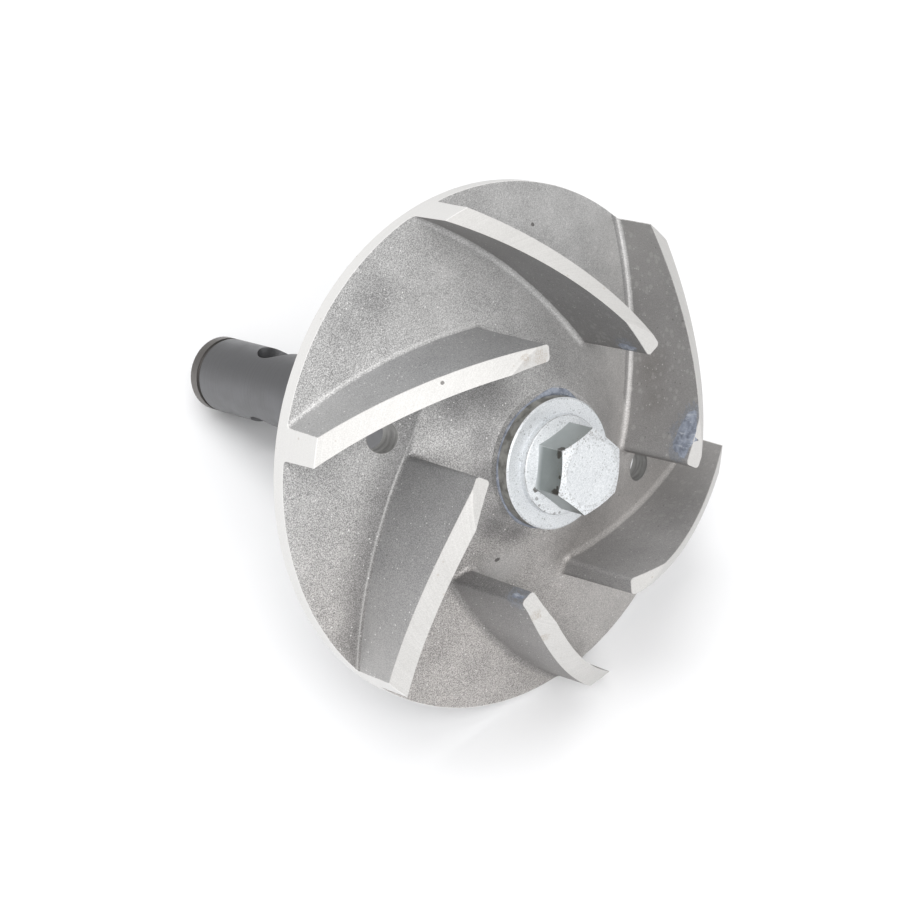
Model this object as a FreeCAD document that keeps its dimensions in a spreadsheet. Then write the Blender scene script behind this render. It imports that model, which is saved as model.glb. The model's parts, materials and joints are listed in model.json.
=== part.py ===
"""Pump impeller on its shaft: a cast six-vane wheel clamped on a shaft taper by a washer and a flange bolt.

Units are millimetres and degrees. Every piece is drawn about its own turning axis, Z, which points out
of the impeller's eye, with Z = 0 in the plane of the rim's front edge. The pieces share one Placement,
which lays the assembly on a table: it rests on the rim's back edge and on the free end of the shaft, the
eye faces -Y and upwards, and the origin is on the table under the middle of the whole.
"""
import FreeCAD, Part
import math
import os
import re

import Sketcher

DIMENSIONS = [
    ("impeller_diameter", 115.0, "outside of the rim and of the vane ends"),
    ("rim_thickness", 3.0, "turned rim, along the axis"),
    ("eye_face_height", 29.4, "flat vane tops at the eye, above the rim's front edge"),
    ("outlet_height", 10.4, "a vane's height where it ends at the rim"),
    ("turned_angle", 36.5, "slope of the turned cone over the vanes"),
    ("vane_count", 6.0, "vanes round the wheel"),
    ("eye_diameter", 60.0, "circle through the vane noses, measured at their roots"),
    ("vane_arc_radius", 93.2, "convex side of a vane at its root"),
    ("vane_arc_offset", 63.6, "distance of a vane's arc centre from the axis"),
    ("vane_thickness", 4.7, "a vane at its root"),
    ("vane_nose_round", 1.4, "corners of a vane's nose"),
    ("vane_draft", 1.0, "casting draft on each side of a vane"),
    ("vane_phase", 5.4, "direction of the first vane's arc centre"),
    ("vane_fillet", 1.0, "fillet along the foot of a vane"),
    ("hub_face_height", 15.9, "hub face under the washer, above the rim's front edge"),
    ("hub_face_diameter", 31.4, "hub face"),
    ("front_cone_angle", 14.6, "slope of the disc's front, from the rim inwards"),
    ("front_cone_diameter", 72.0, "circle where the front cone turns up into the hub"),
    ("recess_depth", 6.6, "dished back beside the hub, in front of the rim's back"),
    ("recess_outer_diameter", 108.0, "dished back at the rim"),
    ("recess_inner_diameter", 44.0, "dished back at its flat bottom"),
    ("boss_diameter", 34.0, "rear boss at its face"),
    ("boss_length", 8.0, "face of the rear boss, behind the rim's front edge"),
    ("boss_draft", 4.0, "casting draft on the rear boss"),
    ("recess_fillet", 3.0, "corner between the rear boss and the dished back"),
    ("puller_hole", 6.8, "holes for a puller, tapping size for 8 mm screws"),
    ("puller_circle", 74.0, "circle of the puller holes"),
    ("puller_phase", 144.1, "direction of the first puller hole"),
    ("shaft_diameter", 18.0, "shaft behind the hub"),
    ("shaft_reach", 106.0, "free end of the shaft, behind the rim's front edge"),
    ("taper_ratio", 0.1, "diameter that the shaft's seat loses for each millimetre"),
    ("seat_setback", 1.0, "front end of the shaft, below the hub face"),
    ("end_chamfer", 0.8, "chamfer on the shaft's free end"),
    ("ring_groove_depth", 0.5, "groove for a retaining ring"),
    ("ring_groove_width", 1.3, "groove for a retaining ring"),
    ("ring_groove_inset", 3.9, "middle of that groove, from the free end"),
    ("cross_hole", 11.0, "hole across the shaft"),
    ("cross_hole_inset", 24.0, "cross hole, from the free end"),
    ("cross_hole_phase", 58.7, "direction of the cross hole"),
    ("centre_drill", 5.0, "mouth of the centre drilling in the free end"),
    ("thread_diameter", 10.0, "bolt thread, drawn plain"),
    ("thread_depth", 27.0, "threaded hole in the shaft"),
    ("washer_diameter", 28.3, "clamping washer"),
    ("washer_bore", 10.5, "clamping washer"),
    ("washer_thickness", 3.3, "clamping washer"),
    ("washer_bevel", 0.35, "edges of the washer"),
    ("bolt_length", 25.0, "bolt under its flange"),
    ("bolt_tip_chamfer", 1.2, "tip of the bolt"),
    ("head_height", 10.4, "bolt head with its flange"),
    ("head_flats", 16.0, "hexagon across its flats"),
    ("head_phase", 0.8, "direction of a corner of the hexagon"),
    ("head_crown", 14.1, "flat circle on top of the head"),
    ("crown_angle", 24.0, "slope from that circle down to the corners"),
    ("flange_diameter", 21.4, "bolt flange"),
    ("flange_edge", 1.5, "bolt flange at its edge"),
    ("flange_angle", 20.0, "slope of the flange's top"),
    ("flange_cone_diameter", 15.0, "where the flange's slope ends, inside the hexagon"),
    ("flange_round", 0.5, "rounded upper edge of the flange"),
    ("sealant_width", 0.7, "bead of sealing compound squeezed out round the washer"),
    ("sealant_height", 0.6, "that bead against the washer"),
    ("sealant_lip", 0.2, "that bead at its outer edge"),
]
DRILL_POINT = 118
CENTRE_POINT = 60

doc = FreeCAD.newDocument("PumpImpeller")
sheet = doc.addObject("Spreadsheet::Sheet", "Sizes")
for row, (alias, value, meaning) in enumerate(DIMENSIONS, start=1):
    sheet.set(f"A{row}", meaning)
    sheet.set(f"B{row}", str(value))
    sheet.setAlias(f"B{row}", alias)
doc.recompute()

ALIAS = re.compile(r"\b(" + "|".join(alias for alias, _, _ in DIMENSIONS) + r")\b")


def sized(formula):
    """The formula with each size written as its cell in the sheet."""
    return ALIAS.sub(r"Sizes.\1", formula)


def value_of(formula):
    return float(sheet.evalExpression(sized(formula)))


def new_body(name):
    body = doc.addObject("PartDesign::Body", name)
    body.Label = name
    return body


def new_sketch(body, name, role, height=None, turned_by=None):
    """A sketch on a plane of the body, moved along the plane's normal or turned about its upright axis."""
    sketch = body.newObject("Sketcher::SketchObject", name)
    plane = next(item for item in body.Origin.OriginFeatures if item.Role == role)
    sketch.AttachmentSupport = [(plane, "")]
    sketch.MapMode = "FlatFace"
    if height:
        sketch.setExpression("AttachmentOffset.Base.z", sized(height))
    if turned_by:
        upright = FreeCAD.Rotation(FreeCAD.Vector(0, 1, 0), value_of(turned_by))
        sketch.AttachmentOffset = FreeCAD.Placement(FreeCAD.Vector(), upright)
        sketch.setExpression("AttachmentOffset.Rotation.Angle", sized(turned_by))
    return sketch


def bound(sketch, name, formula, kind, *where):
    """A dimension in the sketch whose value follows the formula."""
    index = sketch.addConstraint(Sketcher.Constraint(kind, *where, value_of(formula)))
    sketch.renameConstraint(index, name)
    sketch.setExpression(f"Constraints.{name}", sized(formula))


def polar(radius, angle, centre=(0, 0)):
    turn_to = math.radians(angle)
    return FreeCAD.Vector(centre[0] + radius * math.cos(turn_to), centre[1] + radius * math.sin(turn_to), 0)


def arc_round(centre, radius, start, end):
    """An arc drawn anticlockwise from start to end, in degrees."""
    circle = Part.Circle(centre, FreeCAD.Vector(0, 0, 1), radius)
    return Part.ArcOfCircle(circle, math.radians(start), math.radians(end))


def arc_leaving(start, end, along):
    """The arc from start to end that leaves start in the direction along, and whether it starts there."""
    chord = end - start
    side = FreeCAD.Vector(-along.y, along.x, 0).normalize()
    reach = chord.dot(side)
    radius = chord.Length ** 2 / (2 * reach)
    centre = start + side * radius
    first = math.degrees(math.atan2(start.y - centre.y, start.x - centre.x))
    last = math.degrees(math.atan2(end.y - centre.y, end.x - centre.x))
    if radius > 0:
        return arc_round(centre, radius, first, first + (last - first) % 360), True
    return arc_round(centre, -radius, last, last + (first - last) % 360), False


def outline(sketch, corners, arcs=()):
    """A closed outline through named corners (name, across, up).

    The side that leaves a corner named in arcs is an arc, tangent to the side before it.
    """
    points = [FreeCAD.Vector(value_of(across), value_of(up), 0) for _, across, up in corners]
    sides = []
    for i, (name, _, _) in enumerate(corners):
        start, end = points[i], points[(i + 1) % len(points)]
        if name in arcs:
            shape, forward = arc_leaving(start, end, start - points[i - 1])
        else:
            shape, forward = Part.LineSegment(start, end), True
        sides.append((sketch.addGeometry(shape), 1 if forward else 2, 2 if forward else 1))
    for i, (name, across, up) in enumerate(corners):
        side, here, _ = sides[i]
        before, _, before_end = sides[i - 1]
        joint = "Tangent" if name in arcs else "Coincident"
        sketch.addConstraint(Sketcher.Constraint(joint, before, before_end, side, here))
        if across == "0":
            sketch.addConstraint(Sketcher.Constraint("PointOnObject", side, here, -2))
        else:
            bound(sketch, f"{name}_across", across, "DistanceX", -1, 1, side, here)
        bound(sketch, f"{name}_up", up, "DistanceY", -1, 1, side, here)


def turned(body, kind, name, corners, arcs=()):
    """Material added or cut by turning an outline (radius, height) about the body's axis."""
    sketch = new_sketch(body, f"{name}Profile", "XZ_Plane")
    outline(sketch, corners, arcs)
    feature = body.newObject(kind, name)
    feature.Profile = sketch
    feature.ReferenceAxis = (sketch, ["V_Axis"])
    feature.Angle = 360
    doc.recompute()
    return feature


def dressed(body, kind, name, base, edges, size_name, size):
    feature = body.newObject(kind, name)
    feature.Base = (base, edges)
    feature.setExpression(size_name, sized(size))
    doc.recompute()
    return feature


def vane_sketch(body):
    """A vane's root: two arcs about one centre, closed by a nose with rounded corners."""
    sketch = new_sketch(body, "VaneRoot", "XY_Plane", height="-rim_thickness / 2")
    tail_reach = "impeller_diameter / 2 + vane_thickness"
    phase, offset = value_of("vane_phase"), value_of("vane_arc_offset")
    convex = value_of("vane_arc_radius")
    hollow = convex - value_of("vane_thickness")
    corner = value_of("vane_nose_round")
    centre = polar(offset, phase)
    face_outside = math.sqrt((convex - corner) ** 2 - corner ** 2)
    face_inside = math.sqrt((hollow + corner) ** 2 - corner ** 2)

    def seen_from_centre(length, reach):
        """Direction, from the arc centre, of the point at this length from it and this reach from the axis."""
        cosine = (offset ** 2 + reach ** 2 - length ** 2) / (2 * offset * reach)
        point = polar(reach, phase - math.degrees(math.acos(cosine)))
        return math.degrees(math.atan2(point.y - centre.y, point.x - centre.x)) % 360

    nose = seen_from_centre(face_outside, value_of("eye_diameter / 2"))
    tail = seen_from_centre(convex, value_of(tail_reach))
    convex_turn = math.degrees(math.asin(corner / (convex - corner)))
    hollow_turn = math.degrees(math.asin(corner / (hollow + corner)))
    convex_corner = polar(convex - corner, nose + convex_turn, centre)
    hollow_corner = polar(hollow + corner, nose + hollow_turn, centre)

    convex_side, hollow_side, outside_round, inside_round, nose_face, tail_face = sketch.addGeometry([
        arc_round(centre, convex, nose + convex_turn, tail),
        arc_round(centre, hollow, nose + hollow_turn, tail),
        arc_round(convex_corner, corner, nose - 90, nose + convex_turn),
        arc_round(hollow_corner, corner, nose + 180 + hollow_turn, nose + 270),
        Part.LineSegment(polar(face_outside, nose, centre), polar(face_inside, nose, centre)),
        Part.LineSegment(polar(convex, tail, centre), polar(hollow, tail, centre)),
    ])
    bound(sketch, "centre_across", "vane_arc_offset * cos(vane_phase)", "DistanceX", -1, 1, convex_side, 3)
    bound(sketch, "centre_up", "vane_arc_offset * sin(vane_phase)", "DistanceY", -1, 1, convex_side, 3)
    bound(sketch, "convex_radius", "vane_arc_radius", "Radius", convex_side)
    bound(sketch, "hollow_radius", "vane_arc_radius - vane_thickness", "Radius", hollow_side)
    bound(sketch, "corner_radius", "vane_nose_round", "Radius", outside_round)
    bound(sketch, "eye_reach", "eye_diameter / 2", "Distance", -1, 1, nose_face, 1)
    bound(sketch, "tail_reach", tail_reach, "Distance", -1, 1, convex_side, 2)
    sketch.addConstraint([
        Sketcher.Constraint("Coincident", hollow_side, 3, convex_side, 3),
        Sketcher.Constraint("Tangent", outside_round, 2, convex_side, 1),
        Sketcher.Constraint("Tangent", outside_round, 1, nose_face, 1),
        Sketcher.Constraint("Tangent", inside_round, 2, nose_face, 2),
        Sketcher.Constraint("Tangent", inside_round, 1, hollow_side, 1),
        Sketcher.Constraint("Equal", inside_round, outside_round),
        Sketcher.Constraint("Coincident", tail_face, 1, convex_side, 2),
        Sketcher.Constraint("Coincident", tail_face, 2, hollow_side, 2),
        Sketcher.Constraint("PointOnObject", convex_side, 3, nose_face),
        Sketcher.Constraint("PointOnObject", convex_side, 3, tail_face),
    ])
    return sketch


def makes_front(surface):
    """Whether a surface is a cone or a hollow turned about the body's axis."""
    if isinstance(surface, Part.Cone):
        return math.hypot(surface.Center.x, surface.Center.y) < 1e-6
    return isinstance(surface, Part.SurfaceOfRevolution)


def makes_vane(surface):
    """Whether a surface is a drafted side, corner or nose face of a vane."""
    if isinstance(surface, Part.Cone):
        return math.hypot(surface.Center.x, surface.Center.y) > 1
    if isinstance(surface, Part.Plane):
        return abs(surface.Axis.z) < 0.5
    return isinstance(surface, Part.BSplineSurface)


def make_impeller():
    """One casting: a conical disc with a hub, six backward-curved vanes, turned tops and a dished back."""
    body = new_body("impeller")
    rim = "impeller_diameter / 2"
    boss_foot = "boss_diameter / 2 + (boss_length - rim_thickness) * tan(boss_draft)"
    turned(body, "PartDesign::Revolution", "Disc", [
        ("axis_back", "0", "-boss_length"),
        ("boss_face", "boss_diameter / 2", "-boss_length"),
        ("boss_foot", boss_foot, "-rim_thickness"),
        ("rim_back", rim, "-rim_thickness"),
        ("rim_front", rim, "0 * rim_thickness"),
        ("cone_end", "front_cone_diameter / 2",
         "(impeller_diameter - front_cone_diameter) / 2 * tan(front_cone_angle)"),
        ("hub_edge", "hub_face_diameter / 2", "hub_face_height"),
        ("axis_front", "0", "hub_face_height"),
    ], arcs=("cone_end",))

    vane = body.newObject("PartDesign::Pad", "Vane")
    vane.Profile = vane_sketch(body)
    vane.setExpression("Length", sized("eye_face_height + rim_thickness"))
    vane.setExpression("TaperAngle", sized("-vane_draft"))
    doc.recompute()
    vanes = body.newObject("PartDesign::PolarPattern", "Vanes")
    vanes.Originals = [vane]
    vanes.Axis = (vane.Profile[0], ["N_Axis"])
    vanes.Angle = 360
    vanes.setExpression("Occurrences", sized("vane_count"))
    body.Tip = vanes
    doc.recompute()

    flat_end = "impeller_diameter / 2 - (eye_face_height - outlet_height) / tan(turned_angle)"
    clear_of_vanes = "impeller_diameter / 2 + 3 * vane_thickness"
    above_vanes = "eye_face_height + 2 * rim_thickness"
    turned(body, "PartDesign::Groove", "TurnedTops", [
        ("axis_low", "0", "eye_face_height"),
        ("flat_end", flat_end, "eye_face_height"),
        ("outlet", rim, "outlet_height"),
        ("below_rim", rim, "-2 * rim_thickness"),
        ("outside_low", clear_of_vanes, "-2 * rim_thickness"),
        ("outside_high", clear_of_vanes, above_vanes),
        ("axis_high", "0", above_vanes),
    ])

    def below_tops(edge):
        """Whether an edge lies below the turned tops at its distance from the axis."""
        reach = math.hypot(edge.CenterOfMass.x, edge.CenterOfMass.y)
        slope = math.tan(math.radians(value_of("turned_angle")))
        return edge.CenterOfMass.z < value_of("outlet_height - vane_fillet") + (value_of(rim) - reach) * slope

    def at_vane_foot(edge, shape):
        """Whether an edge joins the side or nose of a vane to the front of the disc."""
        surfaces = [face.Surface for face in shape.ancestorsOfType(edge, Part.Face)]
        on_front = [surface for surface in surfaces if makes_front(surface)]
        on_vane = [surface for surface in surfaces if makes_vane(surface)]
        return len(on_front) == 1 and len(on_vane) == 1 and below_tops(edge)

    tops = body.Tip
    foot_edges = [f"Edge{i}" for i, edge in enumerate(tops.Shape.Edges, 1) if at_vane_foot(edge, tops.Shape)]
    dressed(body, "PartDesign::Fillet", "VaneFeet", tops, foot_edges, "Radius", "vane_fillet")

    recess_side = "boss_diameter / 2 + (boss_length - rim_thickness + recess_depth) * tan(boss_draft)"
    turned(body, "PartDesign::Groove", "DishedBack", [
        ("rim_side", "recess_outer_diameter / 2", "-rim_thickness"),
        ("bottom_outside", "recess_inner_diameter / 2", "recess_depth - rim_thickness"),
        ("bottom_inside", recess_side, "recess_depth - rim_thickness"),
        ("boss_side", boss_foot, "-rim_thickness"),
    ])
    turned(body, "PartDesign::Groove", "TaperBore", [
        ("axis_back", "0", "-boss_length"),
        ("mouth", "shaft_diameter / 2", "-boss_length"),
        ("front", "(shaft_diameter - (boss_length + hub_face_height) * taper_ratio) / 2", "hub_face_height"),
        ("axis_front", "0", "hub_face_height"),
    ])

    holes = new_sketch(body, "PullerHoleCircles", "XY_Plane", height="hub_face_height")
    for number, turn_to in enumerate(("puller_phase", "puller_phase - 180")):
        where = polar(value_of("puller_circle / 2"), value_of(turn_to))
        circle = holes.addGeometry(Part.Circle(where, FreeCAD.Vector(0, 0, 1), value_of("puller_hole / 2")))
        bound(holes, f"hole_{number}", "puller_hole / 2", "Radius", circle)
        bound(holes, f"across_{number}", f"puller_circle / 2 * cos({turn_to})", "DistanceX", -1, 1, circle, 3)
        bound(holes, f"up_{number}", f"puller_circle / 2 * sin({turn_to})", "DistanceY", -1, 1, circle, 3)
    pocket = body.newObject("PartDesign::Pocket", "PullerHoles")
    pocket.Profile = holes
    pocket.Type = "ThroughAll"
    doc.recompute()

    corner_height = value_of("recess_depth - rim_thickness")
    corner_radius = value_of(recess_side)
    corner = [
        f"Edge{i}" for i, edge in enumerate(pocket.Shape.Edges, 1)
        if isinstance(edge.Curve, Part.Circle)
        and abs(edge.Curve.Center.z - corner_height) < 0.01
        and abs(edge.Curve.Radius - corner_radius) < 0.01
    ]
    dressed(body, "PartDesign::Fillet", "BossFoot", pocket, corner, "Radius", "recess_fillet")
    return body


def make_shaft():
    """Turned shaft: tapered seat with a threaded end, ring groove, cross hole and centre drilling."""
    body = new_body("shaft")
    front = "hub_face_height - seat_setback"
    free_end = "-shaft_reach"
    groove_middle = "ring_groove_inset - shaft_reach"
    turned(body, "PartDesign::Revolution", "Bar", [
        ("axis_front", "0", front),
        ("seat_front", "(shaft_diameter - (boss_length + hub_face_height - seat_setback) * taper_ratio) / 2",
         front),
        ("seat_back", "shaft_diameter / 2", "-boss_length"),
        ("groove_front", "shaft_diameter / 2", f"{groove_middle} + ring_groove_width / 2"),
        ("groove_front_foot", "shaft_diameter / 2 - ring_groove_depth",
         f"{groove_middle} + ring_groove_width / 2"),
        ("groove_back_foot", "shaft_diameter / 2 - ring_groove_depth",
         f"{groove_middle} - ring_groove_width / 2"),
        ("groove_back", "shaft_diameter / 2", f"{groove_middle} - ring_groove_width / 2"),
        ("chamfer_side", "shaft_diameter / 2", f"{free_end} + end_chamfer"),
        ("chamfer_end", "shaft_diameter / 2 - end_chamfer", free_end),
        ("axis_back", "0", free_end),
    ])
    turned(body, "PartDesign::Groove", "ThreadedHole", [
        ("mouth_axis", "0", front),
        ("mouth_side", "thread_diameter / 2", front),
        ("depth_side", "thread_diameter / 2", f"{front} - thread_depth"),
        ("point", "0", f"{front} - thread_depth - thread_diameter / 2 / tan({DRILL_POINT / 2})"),
    ])
    turned(body, "PartDesign::Groove", "CentreDrilling", [
        ("mouth_axis", "0", free_end),
        ("mouth_side", "centre_drill / 2", free_end),
        ("point", "0", f"{free_end} + centre_drill / 2 / tan({CENTRE_POINT / 2})"),
    ])
    across = new_sketch(body, "CrossHoleCircle", "XZ_Plane", turned_by="cross_hole_phase - 90")
    middle = FreeCAD.Vector(0, value_of("cross_hole_inset - shaft_reach"), 0)
    circle = across.addGeometry(Part.Circle(middle, FreeCAD.Vector(0, 0, 1), value_of("cross_hole / 2")))
    across.addConstraint(Sketcher.Constraint("PointOnObject", circle, 3, -2))
    bound(across, "height", "cross_hole_inset - shaft_reach", "DistanceY", -1, 1, circle, 3)
    bound(across, "radius", "cross_hole / 2", "Radius", circle)
    hole = body.newObject("PartDesign::Pocket", "CrossHole")
    hole.Profile = across
    hole.Type = "ThroughAll"
    hole.Midplane = True
    doc.recompute()
    return body


def make_washer():
    body = new_body("washer")
    top = "hub_face_height + washer_thickness"
    turned(body, "PartDesign::Revolution", "Ring", [
        ("bore_low", "washer_bore / 2", "hub_face_height"),
        ("edge_low", "washer_diameter / 2 - washer_bevel", "hub_face_height"),
        ("side_low", "washer_diameter / 2", "hub_face_height + washer_bevel"),
        ("side_high", "washer_diameter / 2", f"{top} - washer_bevel"),
        ("edge_high", "washer_diameter / 2 - washer_bevel", top),
        ("bore_high", "washer_bore / 2", top),
    ])
    return body


def make_flange_bolt():
    """Hexagon flange bolt, its crown turned down to the corners."""
    body = new_body("flange_bolt")
    seat = "hub_face_height + washer_thickness"
    top = f"{seat} + head_height"
    flange_top = "flange_edge + (flange_diameter - flange_cone_diameter) / 2 * tan(flange_angle)"
    turned(body, "PartDesign::Revolution", "ShankAndFlange", [
        ("tip_axis", "0", f"{seat} - bolt_length"),
        ("tip", "thread_diameter / 2 - bolt_tip_chamfer", f"{seat} - bolt_length"),
        ("tip_side", "thread_diameter / 2", f"{seat} - bolt_length + bolt_tip_chamfer"),
        ("shank_top", "thread_diameter / 2", seat),
        ("flange_low", "flange_diameter / 2", seat),
        ("flange_high", "flange_diameter / 2", f"{seat} + flange_edge"),
        ("slope_end", "flange_cone_diameter / 2", f"{seat} + {flange_top}"),
        ("flange_axis", "0", f"{seat} + {flange_top}"),
    ])

    hexagon = new_sketch(body, "HexagonOutline", "XY_Plane", height=f"{seat} + flange_edge / 2")
    corner_radius = "head_flats / 2 / cos(30)"
    corners = [polar(value_of(corner_radius), value_of("head_phase") + 60 * i) for i in range(6)]
    ring = hexagon.addGeometry(Part.Circle(FreeCAD.Vector(), FreeCAD.Vector(0, 0, 1), value_of(corner_radius)))
    hexagon.setConstruction(ring, True)
    sides = hexagon.addGeometry([Part.LineSegment(corners[i], corners[(i + 1) % 6]) for i in range(6)])
    hexagon.addConstraint(Sketcher.Constraint("Coincident", ring, 3, -1, 1))
    bound(hexagon, "corner_across", f"{corner_radius} * cos(head_phase)", "DistanceX", -1, 1, sides[0], 1)
    bound(hexagon, "corner_up", f"{corner_radius} * sin(head_phase)", "DistanceY", -1, 1, sides[0], 1)
    for i, side in enumerate(sides):
        hexagon.addConstraint(Sketcher.Constraint("Coincident", side, 2, sides[(i + 1) % 6], 1))
        hexagon.addConstraint(Sketcher.Constraint("PointOnObject", side, 1, ring))
        if i:
            hexagon.addConstraint(Sketcher.Constraint("Equal", sides[0], side))
    head = body.newObject("PartDesign::Pad", "Hexagon")
    head.Profile = hexagon
    head.setExpression("Length", sized("head_height - flange_edge / 2"))
    doc.recompute()

    flange_level = value_of(f"{seat} + flange_edge")
    round_edges = [
        f"Edge{i}" for i, edge in enumerate(head.Shape.Edges, 1)
        if isinstance(edge.Curve, Part.Circle)
        and abs(edge.Curve.Center.z - flange_level) < 0.01
        and abs(edge.Curve.Radius - value_of("flange_diameter / 2")) < 0.01
    ]
    dressed(body, "PartDesign::Fillet", "FlangeRound", head, round_edges, "Radius", "flange_round")

    crown_fall = "(flange_diameter - head_crown) / 2 * tan(crown_angle)"
    turned(body, "PartDesign::Groove", "Crown", [
        ("circle", "head_crown / 2", top),
        ("outside_low", "flange_diameter / 2", f"{top} - {crown_fall}"),
        ("outside_high", "flange_diameter / 2", f"{top} + flange_edge"),
        ("inside_high", "head_crown / 2", f"{top} + flange_edge"),
    ])
    return body


def make_sealant():
    """Bead of sealing compound in the corner between the washer's edge and the hub face."""
    body = new_body("sealant_bead")
    turned(body, "PartDesign::Revolution", "Bead", [
        ("inner_foot", "washer_diameter / 2", "hub_face_height"),
        ("outer_foot", "washer_diameter / 2 + sealant_width", "hub_face_height"),
        ("lip", "washer_diameter / 2 + sealant_width", "hub_face_height + sealant_lip"),
        ("crest", "washer_diameter / 2", "hub_face_height + sealant_height"),
    ])
    return body


def lay_down(bodies):
    """Lean the assembly until rim and shaft end touch the table, then centre it over the origin."""
    rise = "(impeller_diameter - shaft_diameter) / 2"
    run = "(shaft_reach - end_chamfer - rim_thickness)"
    lean = f"atan({rise} / {run})"
    rim_radius, rim_back = "impeller_diameter / 2", "rim_thickness"
    for body in bodies:
        body.Placement = FreeCAD.Placement(FreeCAD.Vector(), FreeCAD.Rotation(FreeCAD.Vector(1, 0, 0), 60))
        body.setExpression("Placement.Rotation.Angle", sized(f"90 deg - {lean}"))
        body.setExpression("Placement.Base.z", sized(f"{rim_radius} * cos({lean}) + {rim_back} * sin({lean})"))
    doc.recompute()
    box = Part.makeCompound([body.Shape for body in bodies]).optimalBoundingBox(False, False)
    for body in bodies:
        body.Placement.Base.y -= box.Center.y
    doc.recompute()


bodies = [make_impeller(), make_shaft(), make_washer(), make_flange_bolt(), make_sealant()]
lay_down(bodies)

for item in doc.Objects:
    if "Invalid" in item.State or "Error" in item.State:
        raise RuntimeError(f"{item.Name} failed: {item.State}")
os.makedirs("parts", exist_ok=True)
for body in bodies:
    if body.Shape.isNull() or not body.Shape.isValid():
        raise RuntimeError(f"{body.Label} has no valid shape")
    body.Shape.exportStep(os.path.join("parts", f"{body.Label}.step"))
    print(body.Label, len(body.Shape.Solids), "solid,", round(body.Shape.Volume), "mm3")
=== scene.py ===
# %% [markdown]
# # A pump impeller, lying on a studio table
#
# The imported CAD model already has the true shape: the cast wheel, its shaft, the washer, the flange bolt
# and a bead of sealing compound. This notebook gives each piece the finish that the real one has, adds what
# is too thin or too irregular for CAD, and sets up a pale table with soft light.
#
# Everything is placed in the wheel's own directions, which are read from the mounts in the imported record. A
# change of the model therefore carries the finishes with it.

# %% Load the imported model
import json
import math

import bmesh
import bpy
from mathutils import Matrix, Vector, noise
from mathutils.bvhtree import BVHTree


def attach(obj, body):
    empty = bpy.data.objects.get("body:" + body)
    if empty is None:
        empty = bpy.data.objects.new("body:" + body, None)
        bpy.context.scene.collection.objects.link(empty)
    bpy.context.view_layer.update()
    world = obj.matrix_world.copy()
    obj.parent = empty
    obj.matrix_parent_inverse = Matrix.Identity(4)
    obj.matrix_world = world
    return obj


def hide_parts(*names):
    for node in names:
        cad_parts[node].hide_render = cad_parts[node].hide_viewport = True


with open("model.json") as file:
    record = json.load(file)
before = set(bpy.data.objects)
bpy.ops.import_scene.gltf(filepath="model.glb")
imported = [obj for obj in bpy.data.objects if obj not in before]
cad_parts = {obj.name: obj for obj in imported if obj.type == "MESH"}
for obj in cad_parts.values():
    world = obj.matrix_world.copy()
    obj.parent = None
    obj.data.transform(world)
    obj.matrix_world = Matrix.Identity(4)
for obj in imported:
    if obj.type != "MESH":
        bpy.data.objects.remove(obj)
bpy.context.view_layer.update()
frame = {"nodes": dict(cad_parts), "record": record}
nodes = frame["nodes"]
print("pieces from CAD:", sorted(nodes))

# %% [markdown]
# ## The wheel's own directions
#
# The wheel is tilted on the table, so row X, Y and Z say little about it. Three directions do: its axis
# towards the eye, one direction across the disc and one up the disc. Sizes in this notebook are millimetres,
# because that is how a machinist would give them.

# %% Directions and sizes of the wheel
MM = 0.001
HOLES_ABOVE_RIM = 3.5
mounts = {mount["name"]: mount for mount in frame["record"]["mounts"]}
AXIS = Vector(mounts["puller_holes"]["axis"]).normalized()
ACROSS = Vector((1, 0, 0))
UP_DISC = AXIS.cross(ACROSS).normalized()
RIM_FRONT = Vector(mounts["puller_holes"]["pos_m"]) - AXIS * HOLES_ABOVE_RIM * MM

RIM_RADIUS = 57.5
EYE_FACE = 29.4
OUTLET = 10.4
TURNED_ANGLE = math.radians(36.5)
VANES = 6
VANE_ARC = 93.2
VANE_ARC_OFFSET = 63.6
VANE_PHASE = 5.4
VANE_NOSES = 30.0
HUB_FACE = 15.9
BOSS_FACE = -8.0
PULLER_HOLE = 3.4
PULLER_CIRCLE = 37.0
PULLER_TURNS = (144.1, -35.9)
WASHER_RADIUS = 14.15
WASHER_FACE = HUB_FACE + 3.3
FLANGE_RADIUS = 10.7
FLANGE_EDGE = WASHER_FACE + 1.5
HEAD_TOP = WASHER_FACE + 10.4
HEAD_HALF_FLATS = 8.0
LEFT_FLAT = 150.8
UPPER_FLAT = 90.8
CROWN_RADIUS = 7.05
RING_GROOVE = -102.1


def on_wheel(radius, angle, height):
    """Point in the row frame from a radius and height in millimetres and an angle in degrees."""
    turn = math.radians(angle)
    flat = ACROSS * math.cos(turn) + UP_DISC * math.sin(turn)
    return RIM_FRONT + (flat * radius + AXIS * height) * MM


def disc_point(angle, radius=1.0):
    """A point of the disc in the wheel's directions, or a direction along it, at an angle in degrees."""
    turn = math.radians(angle)
    return (radius * math.cos(turn), radius * math.sin(turn), 0)


print("eye faces", [round(value, 3) for value in AXIS])

# %% [markdown]
# ## Tools for shader trees
#
# A shader tree written out call by call is hard to read. These helpers add a node, feed its sockets from
# other sockets or plain numbers, and hand back the output, so that a finish reads like a formula.

# %% Helpers for nodes


def put(tree, kind, **settings):
    """Adds a node and sets its properties."""
    node = tree.nodes.new(kind)
    for name, value in settings.items():
        setattr(node, name, value)
    return node


def feed(tree, source, socket):
    """Links a socket to another one, or gives it a plain value."""
    if isinstance(source, bpy.types.NodeSocket):
        tree.links.new(source, socket)
    else:
        socket.default_value = source


def maths(tree, operation, *terms, clamp=False):
    node = put(tree, "ShaderNodeMath", operation=operation, use_clamp=clamp)
    for term, socket in zip(terms, node.inputs):
        feed(tree, term, socket)
    return node.outputs[0]


def times(tree, mask, *others):
    """The product of masks and plain numbers."""
    for other in others:
        mask = maths(tree, "MULTIPLY", mask, other)
    return mask


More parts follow.
